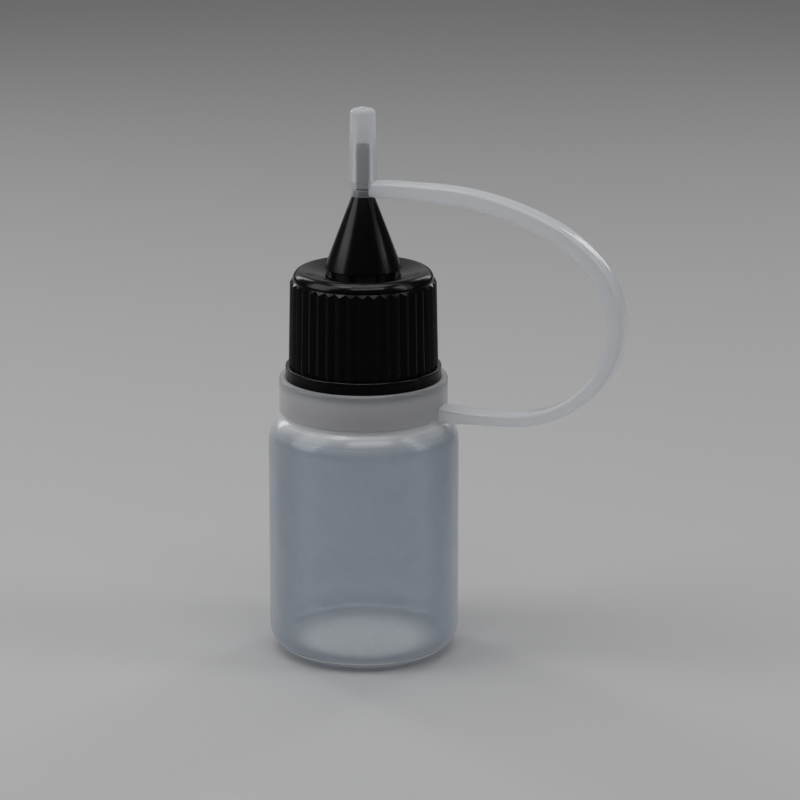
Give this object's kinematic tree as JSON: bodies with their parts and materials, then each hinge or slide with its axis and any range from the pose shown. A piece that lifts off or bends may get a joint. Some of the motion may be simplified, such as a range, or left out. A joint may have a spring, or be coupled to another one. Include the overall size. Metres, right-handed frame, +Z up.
{
  "type": "glue applicator bottle",
  "caption": "Small squeeze bottle with a fluted screw cap, a needle-tip nozzle cone and a translucent needle cover held by a looped strap.",
  "frame": {"origin": "on the bottle's axis, in the plane that the bottle stands on", "axes": "+Z up along the bottle's axis to the cover's tip; the strap's loop leans from +X 20 degrees towards -Y"},
  "size_m": [0.0406, 0.0228, 0.0641],
  "materials": {
    "bottle_plastic": "translucent, faintly waxy",
    "cover_plastic": "translucent, faintly waxy",
    "cap_plastic": "gloss",
    "nozzle_plastic": "gloss",
    "needle_steel": "drawn tube"
  },
  "bodies": {
    "bottle": {"bottle": "bottle_plastic"},
    "nozzle": {"nozzle": "nozzle_plastic", "needle": "needle_steel"},
    "screw_cap": {"screw_cap": "cap_plastic"},
    "tether_ring": {"tether_ring": "cover_plastic", "tether_strap": "cover_plastic"},
    "needle_cover": {"needle_cover": "cover_plastic"}
  },
  "joints": [
    {"name": "cap_lift", "type": "slide", "parent": "bottle", "child": "nozzle", "axis": [0, 0, 1], "range_m": [0, 0.0162]},
    {"name": "cap_turn", "type": "hinge", "parent": "nozzle", "child": "screw_cap", "pos_m": [0, 0, 0.032], "axis": [0, 0, 1], "range_deg": [0, 1908]},
    {"name": "tether_swivel", "type": "hinge", "parent": "nozzle", "child": "tether_ring", "pos_m": [0, 0, 0.0287], "axis": [0, 0, 1], "continuous": true},
    {"name": "cover_pull", "type": "slide", "parent": "tether_ring", "child": "needle_cover", "axis": [0, 0, 1], "range_m": [0, 0.008], "deforming": ["tether_strap"]}
  ],
  "couplings": [
    {"joint": "cap_lift", "follows": "cap_turn", "m_per_rad": 0.00047746}
  ]
}
